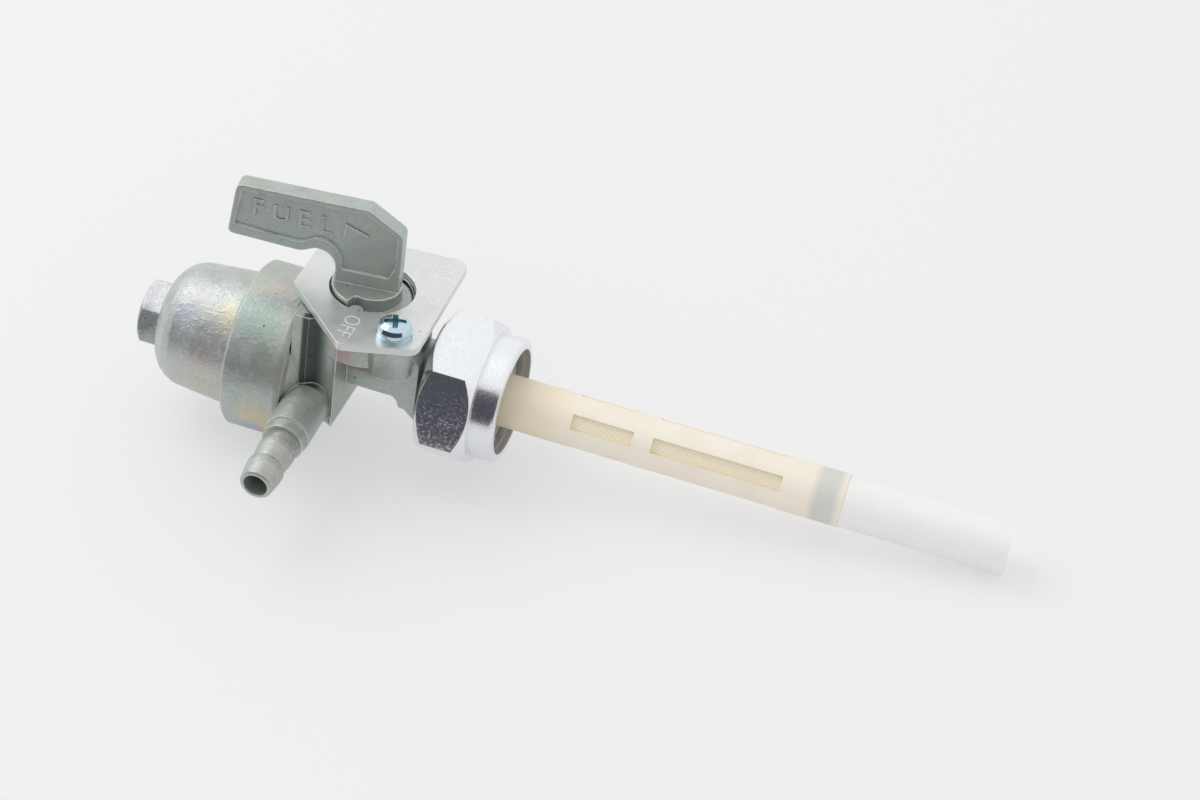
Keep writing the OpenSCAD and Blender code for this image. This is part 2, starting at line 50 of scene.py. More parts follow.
def tint(code: str) -> Colour:
    """Gives the linear colour of a hex code such as a9b3ae."""
    parts = [int(code[i:i + 2], 16) / 255 for i in (0, 2, 4)]
    return tuple(c / 12.92 if c <= 0.04045 else ((c + 0.055) / 1.055) ** 2.4 for c in parts)


class Sock:
    """Output socket of a node tree that turns Python operators into Math nodes."""

    def __init__(self, graph: "Graph", socket: bpy.types.NodeSocket) -> None:
        """Keeps the tree and the socket."""
        self.graph = graph
        self.socket = socket

    def _math(self, operation: str, *values: Any) -> "Sock":
        """Adds one Math node that works on the given values."""
        return self.graph.node("ShaderNodeMath", {"operation": operation}, dict(enumerate(values)))

    def __add__(self, other: Any) -> "Sock":
        """Adds."""
        return self._math("ADD", self, other)

    def __radd__(self, other: Any) -> "Sock":
        """Adds to a number."""
        return self._math("ADD", other, self)

    def __sub__(self, other: Any) -> "Sock":
        """Subtracts."""
        return self._math("SUBTRACT", self, other)

    def __rsub__(self, other: Any) -> "Sock":
        """Subtracts from a number."""
        return self._math("SUBTRACT", other, self)

    def __mul__(self, other: Any) -> "Sock":
        """Multiplies."""
        return self._math("MULTIPLY", self, other)

    def __rmul__(self, other: Any) -> "Sock":
        """Multiplies a number."""
        return self._math("MULTIPLY", other, self)

    def __pow__(self, other: Any) -> "Sock":
        """Raises to a power."""
        return self._math("POWER", self, other)

    def __rpow__(self, other: Any) -> "Sock":
        """Raises a number to this power."""
        return self._math("POWER", other, self)

    def of(self, operation: str, *others: Any) -> "Sock":
        """Applies any other Math operation, with this socket as its first value."""
        return self._math(operation, self, *others)

    def ramp(self, low: float, high: float, to_low: float = 0.0, to_high: float = 1.0) -> "Sock":
        """Maps a range smoothly to another one, held at both ends.

        Args:
            low: Value that becomes to_low.
            high: Value that becomes to_high.
            to_low: Result at low.
            to_high: Result at high.

        Returns:
            The mapped value.
        """
        return self.graph.node(
            "ShaderNodeMapRange", {"interpolation_type": "SMOOTHSTEP"},
            {"Value": self, "From Min": low, "From Max": high, "To Min": to_low, "To Max": to_high})


class Graph:
    """Node tree of one material, with its Principled shader."""

    def __init__(self, name: str) -> None:
        """Makes the material and clears its tree.

        Args:
            name: Name of the material.
        """
        self.material = bpy.data.materials.new(name)
        self.material.use_nodes = True
        self.tree = self.material.node_tree
        self.tree.nodes.clear()

    def raw(self, kind: str, settings: dict[str, Any], values: dict[Any, Any]) -> bpy.types.Node:
        """Adds a node.

        Args:
            kind: The node's type.
            settings: Attributes of the node; "stops" fills a colour ramp.
            values: Numbers, colours or links of its sockets, by name or place.

        Returns:
            The new node.
        """
        made = self.tree.nodes.new(kind)
        for key, value in settings.items():
            if key == "stops":
                self._stops(made.color_ramp, value)
            else:
                setattr(made, key, value)
        for key, value in values.items():
            self._feed(made.inputs[key], value)
        return made

    @staticmethod
    def _stops(ramp: Any, stops: Sequence[tuple[float, Colour]]) -> None:
        """Fills a colour ramp.

        Args:
            ramp: The ramp.
            stops: Place and colour of each stop.
        """
        while len(ramp.elements) < len(stops):
            ramp.elements.new(0.5)
        for element, (place, colour) in zip(ramp.elements, stops):
            element.position = place
            element.color = (*colour, 1)

    def _feed(self, socket: bpy.types.NodeSocket, value: Any) -> None:
        """Links or sets one input socket.

        Args:
            socket: The socket.
            value: A link, a colour, a vector or a number.
        """
        if isinstance(value, Sock):
            self.tree.links.new(value.socket, socket)
        elif isinstance(value, tuple) and len(value) == 3 and len(socket.default_value) == 4:
            socket.default_value = (*value, 1)
        else:
            socket.default_value = value

    def node(self, kind: str, settings: dict[str, Any], values: dict[Any, Any],
             output: Union[int, str] = 0) -> Sock:
        """Adds a node.

        Args:
            kind: The node's type.
            settings: Attributes of the node.
            values: Numbers, colours or links of its sockets, by name or place.
            output: Name or place of the output to give back.

        Returns:
            That output.
        """
        made = self.raw(kind, settings, values)
        return Sock(self, made.outputs[output])

    def place(self) -> Sock:
        """Position on the object, in metres."""
        return self.node("ShaderNodeTexCoord", {}, {}, "Object")

    def axes(self) -> tuple[Sock, Sock, Sock]:
        """Position on the object as three numbers in millimetres."""
        split = self.raw("ShaderNodeSeparateXYZ", {}, {0: self.place()})
        return tuple(Sock(self, split.outputs[i]) * 1000.0 for i in range(3))

    def noise(self, size: float, detail: float = 2.0, rough: float = 0.5,
              shift: Triple = (0.0, 0.0, 0.0), stretch: Triple = (1.0, 1.0, 1.0)) -> Sock:
        """Soft noise between 0 and 1.

        Args:
            size: Rough size of its blotches in mm.
            detail: Number of finer layers.
            rough: Strength of the finer layers.
            shift: Moves the pattern, in mm.
            stretch: Stretches the pattern along each axis.

        Returns:
            The noise's value.
        """
        scale = tuple(1 / s for s in stretch)
        place = self.node("ShaderNodeMapping", {}, {
            "Vector": self.place(), "Location": Vector(shift) * MM, "Scale": Vector(scale)})
        return self.node("ShaderNodeTexNoise", {}, {
            "Vector": place, "Scale": 1 / (size * MM), "Detail": detail, "Roughness": rough})

    def pits(self, size: float, share: float, shift: Triple = (0.0, 0.0, 0.0)) -> Sock:
        """Small round spots, 1 at their middle.

        Args:
            size: Distance between the places where a spot can be, in mm.
            share: Radius of a spot as a share of that distance.
            shift: Moves the pattern, in mm.

        Returns:
            A mask of the spots.
        """
        place = self.node("ShaderNodeMapping", {}, {"Vector": self.place(), "Location": Vector(shift) * MM})
        cell = self.raw("ShaderNodeTexVoronoi", {}, {"Vector": place, "Scale": 1 / (size * MM)})
        pick = self.node("ShaderNodeSeparateColor", {}, {0: Sock(self, cell.outputs["Color"])})
        return Sock(self, cell.outputs["Distance"]).ramp(share, share * 0.4) * pick.ramp(0.55, 0.75)

    def blend(self, factor: Any, first: Any, second: Any, how: str = "MIX") -> Sock:
        """Mixes two colours.

        Args:
            factor: Share of the second one.
            first: Colour at 0.
            second: Colour at 1.
            how: Way of mixing.

        Returns:
            The mixed colour.
        """
        made = self.raw("ShaderNodeMix", {"data_type": "RGBA", "blend_type": how}, {})
        for place, value in ((0, factor), (6, first), (7, second)):
            self._feed(made.inputs[place], value)
        return Sock(self, made.outputs[2])

    def worn_and_lit_edge(self, radius: float) -> tuple[Sock, Sock]:
        """Rounded normal near edges, and a mask that is 1 on them, used to lighten edges partly for wear
        and partly as painted highlight.

        Args:
            radius: Radius of the rounding in mm.

        Returns:
            The rounded normal and the mask.
        """
        rounded = self.node("ShaderNodeBevel", {"samples": 6}, {"Radius": radius * MM})
        true = self.node("ShaderNodeNewGeometry", {}, {}, "True Normal")
        same = self.node("ShaderNodeVectorMath", {"operation": "DOT_PRODUCT"},
                         {0: rounded, 1: true}, "Value")
        return rounded, (1.0 - same).ramp(0.01, 0.18)

    def corners(self, reach: float) -> Sock:
        """Mask that is 1 in inner corners, for painted shade there.

        Args:
            reach: Width of the painted shade line in mm.

        Returns:
            The mask.
        """
        shut = self.node("ShaderNodeAmbientOcclusion", {"samples": 8},
                         {"Distance": reach * MM}, "AO")
        return shut.ramp(0.80, 0.45)

    def bump(self, height: Sock, depth: float, normal: Optional[Sock] = None) -> Sock:
        """Bump for a height between 0 and 1.

        Args:
            height: The height.
            depth: Its depth in mm.
            normal: Normal under the bump, if it isn't the surface's own.

        Returns:
            The bumped normal.
        """
        values: dict[Any, Any] = {"Height": height, "Distance": depth * MM, "Strength": 1.0}
        if normal is not None:
            values["Normal"] = normal
        return self.node("ShaderNodeBump", {}, values)

    def surface(self, **sockets: Any) -> bpy.types.Material:
        """Adds the Principled shader and the output.

        Args:
            **sockets: Values of the shader's sockets, named with _ for a space.

        Returns:
            The finished material.
        """
        shader = self.raw("ShaderNodeBsdfPrincipled", {}, {})
        for key, value in sockets.items():
            self._feed(shader.inputs[key.replace("_", " ")], value)
        out = self.raw("ShaderNodeOutputMaterial", {}, {})
        self.tree.links.new(shader.outputs[0], out.inputs[0])
        return self.material


@dataclass(frozen=True)
class CastZinc:
    """Zinc casting with a passivated skin: satin grey with rainbow stains, sandy grain and pits.

    Attributes:
        name: Name of the material.
        metal: Colour of the clean metal.
        stain: Strength of the rainbow stains.
        rough: Middle roughness.
        grain: Depth of the cast skin in mm.
        round_off: Radius of the rounded, lightened edges in mm; the lightening is partly wear and partly
            painted highlight.
        shine: Share of bare metal.
        lumps: Strength of the coarser lumps.
        grooves: Whether shade is painted into the block's grooves.
        patches: Stained places: middle in mm, reach in mm, colour, strength.
    """

    name: str
    metal: str = "c2c9c4"
    stain: float = 0.42
    rough: float = 0.42
    grain: float = 0.09
    round_off: float = 0.45
    shine: float = 0.6
    lumps: float = 0.25
    grooves: bool = False
    patches: tuple = ()

    def build(self) -> bpy.types.Material:
        """Makes the material.

        Returns:
            The material.
        """
        g = Graph(self.name)
        rounded, edge = g.worn_and_lit_edge(self.round_off)
        corner_shade = g.corners(0.6)
        cloud = g.noise(4.5, 4.0, 0.62)
        skin = g.noise(0.42, 4.0, 0.7)
        wave = g.noise(2.4, 2.0, 0.5, shift=(5.0, 0.0, 1.0))
        fine = g.pits(1.1, 0.13, shift=(1.0, 2.0, 3.0))
        deep = g.pits(3.4, 0.10, shift=(7.0, 1.0, 5.0))
        lump = g.noise(0.95, 2.0, 0.5, shift=(9.0, 4.0, 6.0)).ramp(0.50, 0.74)
        base = self._stained(g, tint(self.metal))
        base = g.blend(1.0, base, g.blend(cloud, (0.72, 0.72, 0.72), (1.12, 1.12, 1.12)), "MULTIPLY")
        base = g.blend(skin.ramp(0.56, 0.72) * 0.4, base, tint("eef1ee"))
        base = g.blend(skin.ramp(0.44, 0.30) * 0.3, base, tint("6a706b"))
        base = g.blend(lump * self.lumps * 0.45, base, tint("f1f4f1"))
        base = g.blend(fine * 0.55, base, tint("565a55"))
        base = g.blend(deep * 0.8, base, tint("3f423e"))
        # Painted shade: inner corners and creases darkened by ambient occlusion.
        base = g.blend(corner_shade * 0.85, base, tint("454b47"))
        if self.grooves:
            base = self._shaded_grooves(g, base)
        # Lighter edges: partly wear, partly painted highlight.
        base = g.blend(edge * cloud.ramp(0.3, 0.6, 0.55, 1.0), base, tint("f6f8f6"))
        height = skin * 0.5 + wave * 0.9 + lump * self.lumps * 1.3 - fine * 0.8 - deep * 1.1
        return g.surface(
            Base_Color=base, Metallic=self.shine,
            Roughness=cloud.ramp(0.3, 0.7, self.rough - 0.07, self.rough + 0.08) - edge * 0.08,
            Normal=g.bump(height, self.grain, rounded))

    @staticmethod
    def _shaded_grooves(g: Graph, base: Sock) -> Sock:
        """Paints shade into the grooves along the block's sides, with a flash crack at the front one's
        foot.

        Args:
            g: The material's tree.
            base: Colour so far.

        Returns:
            The new colour.
        """
        x, y, z = g.axes()
        side = y.of("ABSOLUTE")
        along = x.ramp(-37.4, -36.6) * x.ramp(-31.0, -34.2)
        inside = along * side.ramp(10.6, 11.0) * side.ramp(13.0, 12.5)
        # Painted shade in the side grooves.
        base = g.blend(inside * z.ramp(-6.0, -2.0) * 0.9, base, tint("2f3633"))
        line = (g.noise(1.3, 2.0, 0.6, shift=(2.0, 0.0, 4.0)) - 0.5).of("ABSOLUTE").ramp(0.035, 0.012)
        skin_only = y.ramp(-11.4, -11.9) * y.ramp(-13.0, -12.6)
        foot = x.ramp(-32.8, -32.0) * z.ramp(-4.6, -5.4) * skin_only
        return g.blend(line * foot, base, tint("1d1f1e"))

    def _stained(self, g: Graph, metal: Colour) -> Sock:
        """Washes pale blue, green, yellow and pink films over the metal.

        Args:
            g: The material's tree.
            metal: Colour of the clean metal.

        Returns:
            The stained colour.
        """
        bands = g.noise(11.0, 2.5, 0.55, shift=(3.0, 8.0, -4.0))
        film = g.node("ShaderNodeValToRGB", {"stops": [
            (0.30, tint("aabfce")), (0.38, tint("b3c3c4")), (0.44, tint("a3beae")),
            (0.50, tint("bcc6b4")), (0.56, tint("d0c9ad")), (0.62, tint("d2b3b8")),
            (0.69, tint("c0b2cc")), (0.80, tint("acbccb"))]}, {0: bands})
        where = g.noise(6.5, 3.0, 0.6, shift=(-6.0, 2.0, 9.0)).ramp(0.40, 0.62)
        base = g.blend(where * self.stain, metal, film)
        drift = (g.noise(3.5, 2.0, 0.5, shift=(4.0, 4.0, 4.0)) - 0.5) * 0.9
        for middle, reach, code, amount in self.patches:
            away = g.node("ShaderNodeVectorMath", {"operation": "DISTANCE"},
                          {0: g.place(), 1: Vector(middle) * MM}, "Value") * (1000.0 / reach)
            base = g.blend((away + drift).ramp(1.0, 0.35) * amount, base, tint(code))
        return base


@dataclass(frozen=True)
class SheetSteel:
    """Stamped, bright plated sheet with faint rolling lines, specks and a lighter edge, partly rubbed and
    partly painted highlight.
    """

    name: str
    metal: str = "dee1df"

    def build(self) -> bpy.types.Material:
        """Makes the material.

        Returns:
            The material.
        """
        g = Graph(self.name)
        rounded, edge = g.worn_and_lit_edge(0.22)
        cloud = g.noise(3.2, 4.0, 0.65)
        base = g.blend(cloud.ramp(0.2, 0.8), tint(self.metal), tint("e6e8e6"))
        lines = g.noise(0.45, 3.0, 0.6, stretch=(1.0, 14.0, 1.0))
        speck = g.pits(1.6, 0.10, shift=(4.0, 1.0, 0.0))
        spot = g.pits(4.2, 0.07, shift=(1.0, 6.0, 2.0))
        base = g.blend(lines.ramp(0.35, 0.7) * 0.10, base, tint("a9adab"))
        base = g.blend(speck * 0.5, base, tint("6a655e"))
        base = g.blend(spot * 0.85, base, tint("3d3934"))
        # Lighter edge: partly rubbed, partly painted highlight.
        base = g.blend(edge * 0.7, base, tint("fafbfa"))
        return g.surface(
            Base_Color=base, Metallic=0.82, Roughness=cloud.ramp(0.2, 0.8, 0.30, 0.38) + lines * 0.05,
            Normal=g.bump(lines * 0.4 + cloud * 0.3 - speck * 0.8 - spot, 0.02, rounded))


@dataclass(frozen=True)
class BrightPlate:
    """Mirror plating over turned or drawn metal, with dents and a sparkle of fine pits.

    Attributes:
        name: Name of the material.
        metal: Colour of the plating.
        rough: Lowest roughness.
        dents: Depth of the dents in mm.
        round_off: Radius of the rounded, lightened edges in mm.
        rim: Colour of the lighter edges: partly wear, partly painted highlight.
        dark_inside: Radius in mm inside which the piece is dull, or 0.
        collar_x: Place along X where the smoother collar starts, in mm.
        recess: Middle x, middle y and top z of each screw head, in mm.
        dome: Curve of a screw head: its fall is dome x distance x distance.
    """

    name: str
    metal: str = "e6e9ec"
    rough: float = 0.06
    dents: float = 0.010
    round_off: float = 0.4
    rim: str = "fdfdfe"
    dark_inside: float = 0.0
    collar_x: float = 0.0
    recess: tuple = ()
    dome: float = 0.11

    def build(self) -> bpy.types.Material:
        """Makes the material.

        Returns:
            The material.
        """
        g = Graph(self.name)
        rounded, edge = g.worn_and_lit_edge(self.round_off)
        sparkle = g.noise(0.24, 3.0, 0.8)
        dent = g.noise(0.6, 3.0, 0.7, shift=(3.0, 3.0, 0.0)).ramp(0.52, 0.68)
        wave = g.noise(4.5, 1.0, 0.4, shift=(2.0, 7.0, 1.0))
        speck = g.pits(1.0, 0.10, shift=(0.0, 5.0, 2.0))
        base = g.blend(speck * 0.7, tint(self.metal), tint("6c6a68"))
        # Lighter edges: partly wear, partly painted highlight.
        base = g.blend(edge * 0.55, base, tint(self.rim))
        metal: Any = 1.0
        rough: Any = sparkle.ramp(0.35, 0.75, self.rough, self.rough + 0.16)
        x, y, z = g.axes()
        if self.dark_inside:
            inner = (y * y + z * z).of("SQRT").ramp(self.dark_inside + 0.1, self.dark_inside - 0.05)
            base = g.blend(inner, base, tint("b4b2af"))
            rough = rough + inner * 0.35 + x.ramp(self.collar_x - 0.4, self.collar_x + 0.2) * 0.12
            metal = 1.0 - inner * 0.7
        for middle_x, middle_y, top in self.recess:
            away = ((x - middle_x) ** 2.0 + (y - middle_y) ** 2.0).of("SQRT")
            sunk = (top - away * away * self.dome - z).ramp(0.28, 0.55) * away.ramp(2.5, 2.3)
            base = g.blend(sunk * 0.9, base, tint("4fa3a8"))
            rough = rough + sunk * 0.3
            metal = metal - sunk * 0.75
        return g.surface(
            Base_Color=base, Metallic=metal, Roughness=rough,
            Normal=g.bump(sparkle * 0.35 + dent * 0.65 + wave * 2.2 - speck * 0.6, self.dents, rounded))


@dataclass(frozen=True)
class Rubber:
    """Soft dark rubber or fibre with a dusty grain."""

    name: str
    colour: str = "2c2e2f"
    dust: str = "4a4c4d"
    rough: float = 0.62

    def build(self) -> bpy.types.Material:
        """Makes the material.

        Returns:
            The material.
        """
        g = Graph(self.name)
        rounded, edge = g.worn_and_lit_edge(0.2)
        cloud = g.noise(1.6, 4.0, 0.65)
        base = g.blend(cloud.ramp(0.35, 0.75), tint(self.colour), tint(self.dust))
        # Paler edges: partly wear, partly painted highlight.
        base = g.blend(edge * 0.5, base, tint("8b8d8e"))
        return g.surface(
            Base_Color=base, Roughness=cloud.ramp(0.2, 0.8, self.rough - 0.1, self.rough + 0.15),
            Normal=g.bump(g.noise(0.25, 3.0, 0.6), 0.02, rounded))


@dataclass(frozen=True)
class Nylon:
    """Milky moulded plastic, shaded by what lies inside it.

    Attributes:
        name: Name of the material.
        colour: Its main colour.
        deep: Colour of its thicker places.
        shades: Bands of painted shade along X where parts lie inside: start, end and soft edge in mm,
            colour, strength.
        rough: Middle roughness.
    """

    name: str
    colour: str = "f0eadc"
    deep: str = "e9e1cf"
    shades: tuple = ()
    rough: float = 0.38

    def build(self) -> bpy.types.Material:
        """Makes the material.

        Returns:
            The material.
        """
        g = Graph(self.name)
        x, _, _ = g.axes()
        cloud = g.noise(6.0, 3.0, 0.55)
        base = g.blend(cloud.ramp(0.35, 0.7), tint(self.colour), tint(self.deep))
        for start, end, soft, code, amount in self.shades:
            inside = x.ramp(start - soft, start + soft) * x.ramp(end + soft, end - soft)
            # Painted shade of the parts that lie inside the plastic.
            base = g.blend(inside * amount, base, tint(code))
        return g.surface(
            Base_Color=base, Roughness=cloud.ramp(0.3, 0.7, self.rough - 0.05, self.rough + 0.1),
            IOR=1.5)


@dataclass(frozen=True)
class WovenMesh:
    """Fine woven sieve cloth round the stem, in thin yellowed threads."""

    name: str
    pitch: float = 0.8
    radius: float = 4.2
    thread: str = "fff9e4"
    gap: str = "eed79c"

    def build(self) -> bpy.types.Material:
        """Makes the material.

        Returns:
            The material.
        """
        g = Graph(self.name)
        x, y, z = g.axes()
        round_way = z.of("ARCTAN2", y) * (self.radius / self.pitch)
        along = x * (1 / self.pitch)
        first = ((along + round_way) * math.pi).of("SINE").of("ABSOLUTE")
        second = ((along - round_way) * math.pi).of("SINE").of("ABSOLUTE")
        thread = first.of("MAXIMUM", second)
        hole = (1.0 - thread).ramp(0.06, 0.34)
        cloud = g.noise(2.2, 3.0, 0.6)
        base = g.blend(cloud.ramp(0.3, 0.7), tint(self.thread), tint("fdf8e6"))
        base = g.blend(hole * 0.55, base, tint(self.gap))
        return g.surface(Base_Color=base, Roughness=0.5, Normal=g.bump(thread, 0.08))


@dataclass(frozen=True)
class Paint:
    """Thin stamped paint in the plate's marks."""

    name: str
    colour: str = "f6f7f5"

    def build(self) -> bpy.types.Material:
        """Makes the material.

        Returns:
            The material.
        """
        g = Graph(self.name)
        cloud = g.noise(0.6, 3.0, 0.6)
        base = g.blend(cloud.ramp(0.55, 0.8), tint(self.colour), tint("c4c7c5"))
        return g.surface(Base_Color=base, Roughness=0.35, Metallic=0.2, Normal=g.bump(cloud, 0.01))


class Finish(Enum):
    """Finishes of the tap's pieces."""

    BODY = CastZinc("zinc_body", grooves=True, patches=(
        ((-44.2, -14.5, -9.5), 5.5, "d6cea4", 0.6), ((-45.0, -13.0, -13.5), 3.6, "9db6d8", 0.8),
        ((-42.4, -12.0, -14.5), 4.0, "dca9b6", 0.8), ((-41.0, -14.0, -10.0), 3.0, "cfd6a8", 0.6),
        ((-46.0, -10.0, 9.0), 6.5, "a9c2b8", 0.6), ((-24.0, -5.5, 2.5), 4.0, "cda8b0", 0.7),
        ((-29.0, -12.0, 10.0), 3.2, "d9abb4", 0.7), ((-18.9, -15.5, 9.0), 5.5, "939c94", 0.6),
        ((-33.0, -11.5, 9.5), 3.0, "a6c9b4", 0.6)))
    BOWL = CastZinc("zinc_bowl", metal="cdd1d1", stain=0.5, rough=0.38, grain=0.12, lumps=0.3, patches=(
        ((-63.0, -7.5, 7.0), 7.0, "c9c2d0", 0.45), ((-57.0, -12.0, 1.0), 5.0, "cdb9be", 0.4),
        ((-52.5, -12.0, -10.0), 5.0, "d3cfb4", 0.5), ((-60.0, -10.0, -11.0), 5.0, "d0ccb9", 0.4),
        ((-53.0, -9.0, 6.5), 4.5, "d8cfa8", 0.6), ((-71.3, -5.5, -2.0), 4.2, "7d898e", 0.85)))
    LEVER = CastZinc("zinc_lever", metal="bcc4bf", stain=0.26, rough=0.40, grain=0.035, lumps=0.15)
    PLATE = SheetSteel("plate_steel")
    NUT = BrightPlate("nut_plating", metal="eef0f3", dark_inside=10.6, collar_x=-2.4)
    SCREW = BrightPlate("screw_plating", metal="c3d8e4", rough=0.08, dents=0.004, round_off=0.18,
                        recess=((-18.9, -12.1, 20.4), (-36.7, 12.1, 20.4)))
    SPRING = BrightPlate("washer_plating", metal="b9bcbc", rough=0.28, dents=0.006, round_off=0.1)
    GASKET = Rubber("grey_gasket", colour="a4a2a2", dust="b8b6b6", rough=0.6)
    RUBBER = Rubber("black_rubber")
    STRAINER = Nylon("milky_nylon", colour="fff8ea", deep="fdf3e2", rough=0.42, shades=(
        (-20.0, 13.0, 5.0, "f7eace", 0.8), (63.3, 68.0, 1.0, "c9d1cf", 0.65)))
    STANDPIPE = Nylon("standpipe_plastic", colour="fefefd", deep="fbfbf9", rough=0.45)
    MESH = WovenMesh("sieve_cloth")
    SCREEN = Nylon("screen_plastic", colour="e3ddc8", deep="d6cfb7")
    FERRULE = BrightPlate("ferrule_metal", metal="8f9a9b", rough=0.35, dents=0.01)
    PAINT = Paint("mark_paint")

    def material(self) -> bpy.types.Material:
        """Material of this finish, made when it is first asked for."""
        found = bpy.data.materials.get(self.value.name)
        return found or self.value.build()


def settle(piece: bpy.types.Object, finish: Finish, body: str) -> bpy.types.Object:
    """Finishes a new piece: place into the mesh, finish on, riding on a body.

    Args:
        piece: The new object.
        finish: Its finish.
        body: The body that carries it.

    Returns:
        The piece.
    """
    piece.data.transform(piece.matrix_world)
    piece.matrix_world = Matrix()
    piece.data.materials.clear()
    piece.data.materials.append(finish.material())
    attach(piece, body)
    log.info("piece %s: %d faces, on %s", piece.name, len(piece.data.polygons), body)
    return piece


def alone(piece: bpy.types.Object) -> None:
    """Makes a piece the only selected and active one.

    Args:
        piece: The piece.
    """
    bpy.ops.object.select_all(action="DESELECT")
    piece.select_set(True)
    bpy.context.view_layer.objects.active = piece


def dress(node: str, finish: Finish) -> None:
    """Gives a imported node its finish.

    Args:
        node: The node's name.
        finish: Its finish.
    """
    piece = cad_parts[node]
    if not piece.material_slots:
        piece.data.materials.append(finish.material())
    for held in piece.material_slots:
        held.material = finish.material()
    log.info("node %s: %s", node, finish.name)


@dataclass
class Lettering:
    """Words cast or stamped on a flat face.

    Attributes:
        name: Name of the piece.
        body: The body that carries it.
        finish: Its finish.
        slot: Name of a material slot; not used.
        letters: Text, left edge, foot and top in mm.
        thick: Thickness in mm.
        bevel: Rounding of the edges in mm.
        weight: Widening of the strokes in mm.
        narrow: Share of the usual width.
        curve_steps: Steps along each curve.
        bevel_steps: Steps of the rounding.
    """

    name: str
    body: str
    finish: Finish
    slot: str
    letters: list[tuple[str, float, float, float]] = field(default_factory=list)
    thick: float = 0.46
    bevel: float = 0.06
    weight: float = 0.0
    narrow: float = 1.0
    curve_steps: int = 6
    bevel_steps: int = 2

    def build(self, frame_of_face: Matrix) -> bpy.types.Object:
        """Makes the letters and lays them on the face.

        Args:
            frame_of_face: Carries the letters' plane to its place, in mm.

        Returns:
            The piece.
        """
        made = []
        for text, left, low, high in self.letters:
            bpy.ops.object.select_all(action="DESELECT")
            bpy.ops.object.text_add(location=(0, 0, 0))
            glyph = bpy.context.object
            glyph.data.body = text
            glyph.data.size = 1.0
            bpy.context.view_layer.update()
            tall = glyph.dimensions.y
            glyph.data.size = (high - low) / tall
            glyph.data.extrude = self.thick / 2
            glyph.data.bevel_depth = self.bevel
            glyph.data.bevel_resolution = self.bevel_steps
            glyph.data.offset = self.weight
            glyph.data.resolution_u = self.curve_steps
            bpy.ops.object.convert(target="MESH")
            glyph = bpy.context.object
            lowest = Vector([min(v.co[i] for v in glyph.data.vertices) for i in range(3)])
            to_corner = Matrix.Translation((-lowest.x, -lowest.y, 0))
            squeeze = Matrix.Diagonal((self.narrow, 1, 1, 1))
            glyph.data.transform(Matrix.Translation((left, low, 0)) @ squeeze @ to_corner)
            made.append(glyph)
        bpy.ops.object.select_all(action="DESELECT")
        for glyph in made:
            glyph.select_set(True)
        bpy.context.view_layer.objects.active = made[0]
        if len(made) > 1:
            bpy.ops.object.join()
        piece = bpy.context.object
        piece.name = piece.data.name = self.name
        piece.matrix_world = Matrix.Scale(MM, 4) @ frame_of_face
        return settle(piece, self.finish, self.body)


@dataclass
class LeverDress:
    """Raised word and arrow in the lever's panel.

    Attributes:
        axis_x: Place of the lever's axis in mm.
        turn: Turn of the lever at rest in degrees.
        panel_y: Depth of the panel's floor on the blade's axes, in mm.
        letters: Text, left edge, foot and top in mm.
        corners: Corners of the arrow head in mm.
        arrow_thick: Height of the arrow in mm.
        arrow_lip: Width of its rim in mm.
        arrow_dip: Depth of its middle in mm.
        arrow_round: Rounding of its edges in mm.
    """

    axis_x: float = -27.8
    turn: float = 7.5
    panel_y: float = -1.25
    letters: tuple = (("F", -23.8, 29.1, 32.6), ("U", -19.9, 28.7, 32.1), ("E", -15.0, 28.3, 32.0),
                      ("L", -10.7, 28.0, 31.7))
    corners: tuple = ((-1.2, 29.5, 0), (-6.0, 31.3, 0), (-6.3, 27.9, 0))
    arrow_thick: float = 0.3
    arrow_lip: float = 0.28
    arrow_dip: float = 0.1
    arrow_round: float = 0.06

    def build(self) -> None:
        """Builds the word and the arrow."""
        face = (Matrix.Translation((self.axis_x, 0, 0)) @ Matrix.Rotation(math.radians(self.turn), 4, "Z")
                @ Matrix.Translation((0, self.panel_y, 0)) @ Matrix.Rotation(math.radians(90), 4, "X"))
        Lettering("lever_word", "lever", Finish.LEVER, "lever_zinc", list(self.letters)).build(face)
        self.arrow(face)

    def arrow(self, face: Matrix) -> bpy.types.Object:
        """Makes the raised arrow head.

        Args:
            face: Carries the panel's plane to its place, in mm.

        Returns:
            The piece.
        """
        bpy.ops.object.select_all(action="DESELECT")
        bpy.ops.mesh.primitive_circle_add(vertices=3, radius=1.0, fill_type="NGON", location=(0, 0, 0))
        piece = bpy.context.object
        piece.name = piece.data.name = "lever_arrow"
        for vertex, corner in zip(piece.data.vertices, self.corners):
            vertex.co = corner
        bpy.ops.object.mode_set(mode="EDIT")
        bpy.ops.mesh.select_all(action="SELECT")
        bpy.ops.mesh.extrude_region_move(TRANSFORM_OT_translate={"value": (0, 0, self.arrow_thick)})
        bpy.ops.mesh.inset(thickness=self.arrow_lip, depth=-self.arrow_dip)
        bpy.ops.mesh.select_all(action="SELECT")
        bpy.ops.mesh.normals_make_consistent(inside=False)
        bpy.ops.object.mode_set(mode="OBJECT")
        soften(piece, self.arrow_round, 2)
        piece.matrix_world = Matrix.Scale(MM, 4) @ face
        return settle(piece, Finish.LEVER, "lever")


def soften(piece: bpy.types.Object, width: float, segments: int) -> None:
    """Bevels a piece's edges with an applied modifier.

    Args:
        piece: The piece, still in mm.
        width: Width of the bevel in mm.
        segments: Steps across it.
    """
    alone(piece)
    bevel = piece.modifiers.new("soft", "BEVEL")
    bevel.width = width
    bevel.segments = segments
    bevel.limit_method = "ANGLE"
    bpy.ops.object.modifier_apply(modifier=bevel.name)


